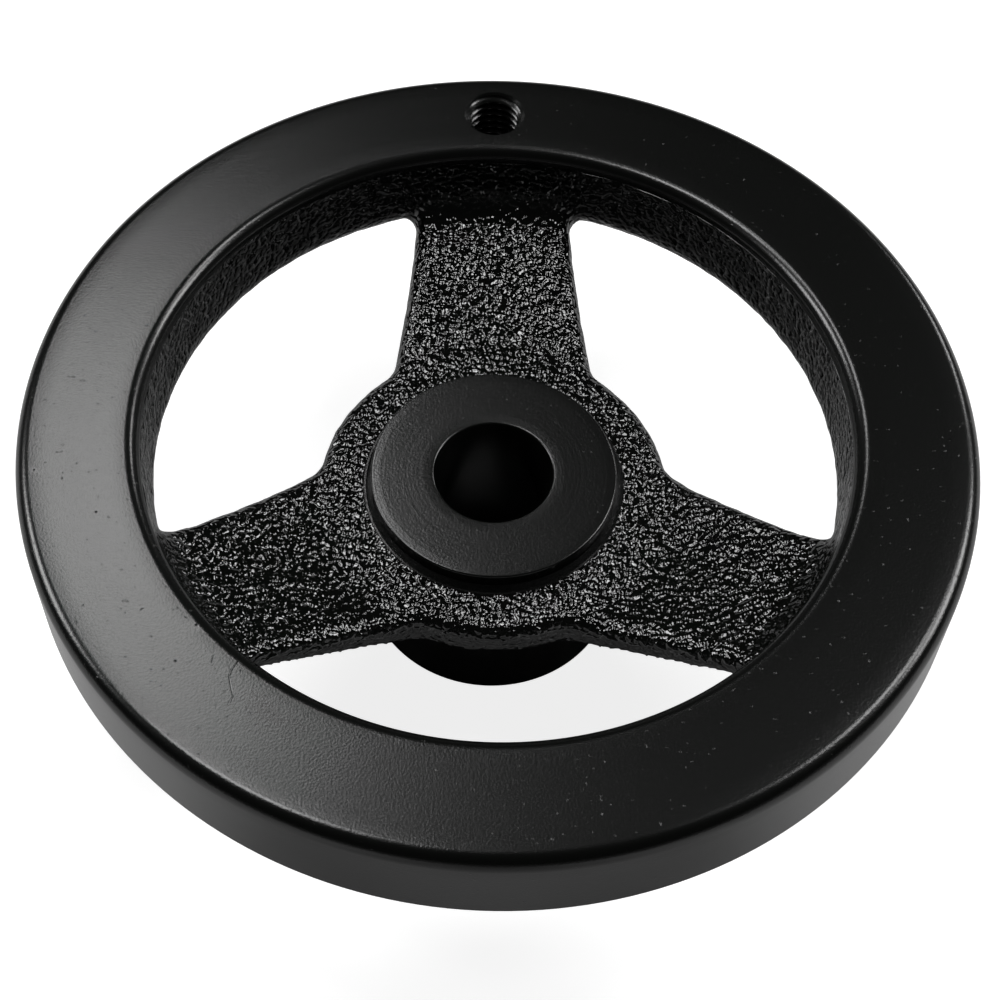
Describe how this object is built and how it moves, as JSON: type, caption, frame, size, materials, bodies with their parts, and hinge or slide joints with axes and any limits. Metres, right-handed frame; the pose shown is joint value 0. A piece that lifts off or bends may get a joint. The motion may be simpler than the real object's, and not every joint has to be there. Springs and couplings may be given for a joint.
{
  "type": "machine handwheel",
  "caption": "Black cast machine handwheel with a flat turned rim, dished spokes, a bored hub reaching below the rim, and a tapped hole in the rim for a handle.",
  "frame": {"origin": "on the wheel's axis, at the lower end of the hub", "axes": "+Z along the axis, from the lower end of the hub towards the rim's flat face; +Y towards the tapped hole for the handle"},
  "size_m": [0.125, 0.125, 0.0414],
  "materials": {
    "casting": "black finish, satin on the turned faces and coarse on the cast ones"
  },
  "bodies": {
    "root": {"handwheel": "casting"}
  },
  "joints": []
}
